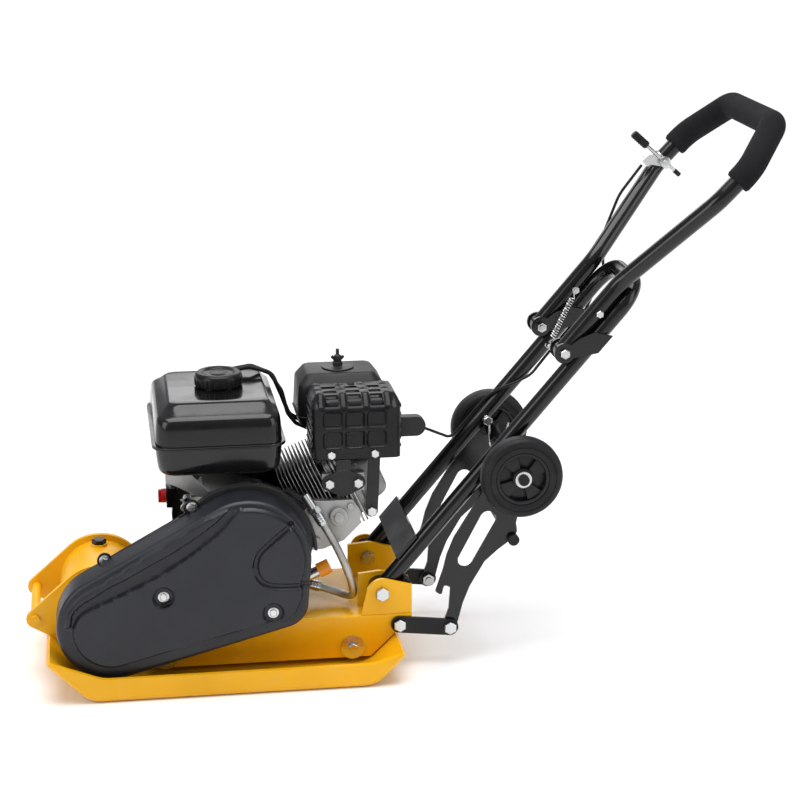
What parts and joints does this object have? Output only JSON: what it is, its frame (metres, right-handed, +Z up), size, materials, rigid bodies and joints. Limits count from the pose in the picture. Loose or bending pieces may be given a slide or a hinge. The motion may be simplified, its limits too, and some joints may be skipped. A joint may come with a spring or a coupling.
{
  "type": "plate compactor",
  "caption": "Walk-behind vibratory plate compactor: belt-driven exciter on a tray base plate, small petrol engine, folding loop handle and swing-down transport wheels.",
  "frame": {"origin": "centre of the flat sole of the base plate", "axes": "+Z up; +X towards the operator's handle; -Y is the belt-guard side"},
  "size_m": [1.093, 0.3547, 0.81],
  "materials": {
    "yellow_plate": "worn gloss",
    "yellow_deck": "gloss powder coat",
    "black_gloss": "gloss",
    "black_satin": "satin",
    "cover_plastic": "grained",
    "grey_plastic": "satin",
    "dark_metal": "satin",
    "zinc": "zinc plated",
    "steel": "turned",
    "casting": "as cast",
    "black_cast": "painted casting",
    "iron": "machined",
    "rubber": "matt",
    "foam": "soft foam",
    "tyre": "solid rubber",
    "rim": "satin",
    "chrome": "bright",
    "orange": "gloss",
    "red": "gloss",
    "braid": "stainless braid",
    "cable_black": "sleeve",
    "ceramic": "boot",
    "filter": "foam element"
  },
  "bodies": {
    "chassis": {"base_plate": "yellow_plate", "exciter_brackets": "yellow_plate", "exciter_housing": "yellow_plate", "exciter_caps": "yellow_plate", "exciter_bearings": "steel", "filler_plugs": "black_satin", "v_belt": "rubber", "rubber_mounts": "rubber", "frame_fixings": "zinc", "deck_frame": "yellow_deck", "crankcase": "casting", "crankcase_cover": "casting", "engine_fixings": "zinc", "cylinder_head": "casting", "valve_cover": "casting", "spark_plug": "ceramic", "recoil_housing": "black_gloss", "tank_lower": "black_gloss", "tank_upper": "black_gloss", "carburettor": "casting", "air_cleaner_base": "grey_plastic", "air_cleaner_cover": "grey_plastic", "air_filter": "filter", "muffler": "dark_metal", "muffler_guard": "black_satin", "fuel_hose": "rubber", "drain_hose": "braid", "drain_cap": "orange", "belt_cover": "cover_plastic", "belt_guard_back": "dark_metal", "throttle_cable_engine": "cable_black"},
    "crank": {"crankshaft": "steel", "clutch_drum": "iron", "flywheel": "black_cast"},
    "exciter": {"exciter_shaft": "steel", "exciter_pulley": "iron"},
    "lower_frame": {"lower_handle": "black_gloss", "handle_plates": "black_gloss", "handle_fixings": "zinc", "throttle_cable_lower": "cable_black", "latch_clip": "zinc", "handle_springs": "zinc"},
    "upper_frame": {"upper_handle": "black_gloss", "foam_grip": "foam", "spring_posts": "zinc", "throttle_clamp": "zinc", "throttle_cable_upper": "cable_black"},
    "throttle": {"throttle_lever": "black_satin"},
    "link": {"link_arms": "black_satin"},
    "carriage": {"carriage_plates": "black_gloss", "carriage_rods": "black_satin", "carriage_fixings": "zinc"},
    "wheel_left": {"tyre_left": "tyre", "rim_left": "rim"},
    "wheel_right": {"tyre_right": "tyre", "rim_right": "rim"},
    "fuel_cap": {"fuel_cap": "black_satin"},
    "switch_knob": {"engine_switch": "red"},
    "recoil_grip": {"recoil_grip": "rubber"},
    "air_cleaner_nut": {"wing_nut": "zinc"}
  },
  "joints": [
    {"name": "handle_tilt", "type": "hinge", "parent": "chassis", "child": "lower_frame", "pos_m": [0.232, 0, 0.113], "axis": [0, 1, 0], "range_deg": [-18, 0], "deforming": ["throttle_cable_engine"]},
    {"name": "handle_fold", "type": "hinge", "parent": "lower_frame", "child": "upper_frame", "pos_m": [0.49711, 0, 0.46697], "axis": [0, 1, 0], "range_deg": [-115, 0], "deforming": ["handle_springs"]},
    {"name": "throttle_swing", "type": "hinge", "parent": "upper_frame", "child": "throttle", "pos_m": [0.7003, 0.1345, 0.6996], "axis": [0, 1, 0], "range_deg": [0, 55]},
    {"name": "link_swing", "type": "hinge", "parent": "chassis", "child": "link", "pos_m": [0.257, 0, 0.065], "axis": [0, 1, 0], "range_deg": [0, 8]},
    {"name": "carriage_swing", "type": "hinge", "parent": "link", "child": "carriage", "pos_m": [0.3324, 0, 0.0564], "axis": [0, 1, 0], "range_deg": [0, 66], "deforming": ["latch_clip"]},
    {"name": "wheel_left_spin", "type": "hinge", "parent": "carriage", "child": "wheel_left", "pos_m": [0.4314, -0.1215, 0.2931], "axis": [0, 1, 0], "continuous": true},
    {"name": "wheel_right_spin", "type": "hinge", "parent": "carriage", "child": "wheel_right", "pos_m": [0.4314, 0.1215, 0.2931], "axis": [0, 1, 0], "continuous": true},
    {"name": "crank_spin", "type": "hinge", "parent": "chassis", "child": "crank", "pos_m": [0.033, 0, 0.187], "axis": [0, 1, 0], "continuous": true},
    {"name": "exciter_spin", "type": "hinge", "parent": "chassis", "child": "exciter", "pos_m": [-0.176, 0, 0.1], "axis": [0, 1, 0], "continuous": true},
    {"name": "fuel_cap_turn", "type": "hinge", "parent": "chassis", "child": "fuel_cap", "pos_m": [0.0075, 0.034, 0.41], "axis": [0, 0, 1], "range_deg": [0, 90]},
    {"name": "switch_turn", "type": "hinge", "parent": "chassis", "child": "switch_knob", "pos_m": [-0.075, 0.104, 0.211], "axis": [1, 0, 0], "range_deg": [0, 60]},
    {"name": "recoil_pull", "type": "slide", "parent": "chassis", "child": "recoil_grip", "axis": [-0.7399, 0, 0.6727], "range_m": [0, 0.6]},
    {"name": "air_cleaner_nut_turn", "type": "hinge", "parent": "chassis", "child": "air_cleaner_nut", "pos_m": [0.188, 0.066, 0.42], "axis": [0, 0, 1], "continuous": true}
  ],
  "couplings": [
    {"joint": "exciter_spin", "follows": "crank_spin", "ratio": 1.5429}
  ]
}
